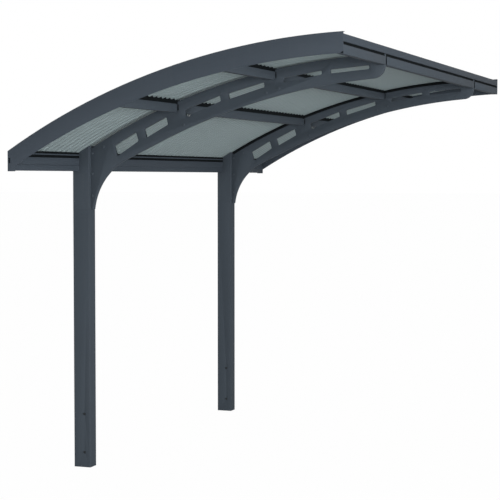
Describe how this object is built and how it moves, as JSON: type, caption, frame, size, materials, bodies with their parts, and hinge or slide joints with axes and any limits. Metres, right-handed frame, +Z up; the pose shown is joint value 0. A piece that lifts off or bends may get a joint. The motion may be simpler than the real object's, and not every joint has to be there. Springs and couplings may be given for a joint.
{
  "type": "carport",
  "caption": "Cantilever carport: slotted arched ribs on rear posts carry purlins, a gutter and a curved corrugated roof over an open parking bay.",
  "frame": {"origin": "middle of the left post's foot, on the underside of its bracket plate", "axes": "+X along the roof from the left post to the right post, -Y from the posts to the open high eave, +Z up"},
  "size_m": [5, 2.39, 3.0843],
  "materials": {
    "frame_coating": "dark grey satin powder coat on aluminium",
    "trim_coating": "slate grey satin powder coat on aluminium",
    "bracket_metal": "galvanised steel and mill finish aluminium, matt",
    "seal_rubber": "black extruded rubber",
    "roof_sheet": "smoke tinted corrugated polycarbonate, glossy"
  },
  "bodies": {
    "root": {"left_foot": "bracket_metal", "right_foot": "bracket_metal", "left_post": "frame_coating", "right_post": "frame_coating", "left_splice": "bracket_metal", "right_splice": "bracket_metal", "left_head": "frame_coating", "right_head": "frame_coating", "left_rib": "frame_coating", "right_rib": "frame_coating", "left_cleat": "bracket_metal", "right_cleat": "bracket_metal", "eave_purlin_left": "frame_coating", "eave_purlin_middle": "frame_coating", "eave_purlin_right": "frame_coating", "upper_purlin_left": "frame_coating", "upper_purlin_middle": "frame_coating", "upper_purlin_right": "frame_coating", "lower_purlin_left": "frame_coating", "lower_purlin_middle": "frame_coating", "lower_purlin_right": "frame_coating", "eave_spigot_left": "bracket_metal", "eave_spigot_right": "bracket_metal", "upper_spigot_left": "bracket_metal", "upper_spigot_right": "bracket_metal", "lower_spigot_left": "bracket_metal", "lower_spigot_right": "bracket_metal", "gutter": "trim_coating", "gutter_seal": "seal_rubber", "eave_cover": "trim_coating", "left_fascia": "trim_coating", "right_fascia": "trim_coating", "sheet_1": "roof_sheet", "sheet_2": "roof_sheet", "sheet_3": "roof_sheet", "sheet_4": "roof_sheet"}
  },
  "joints": []
}
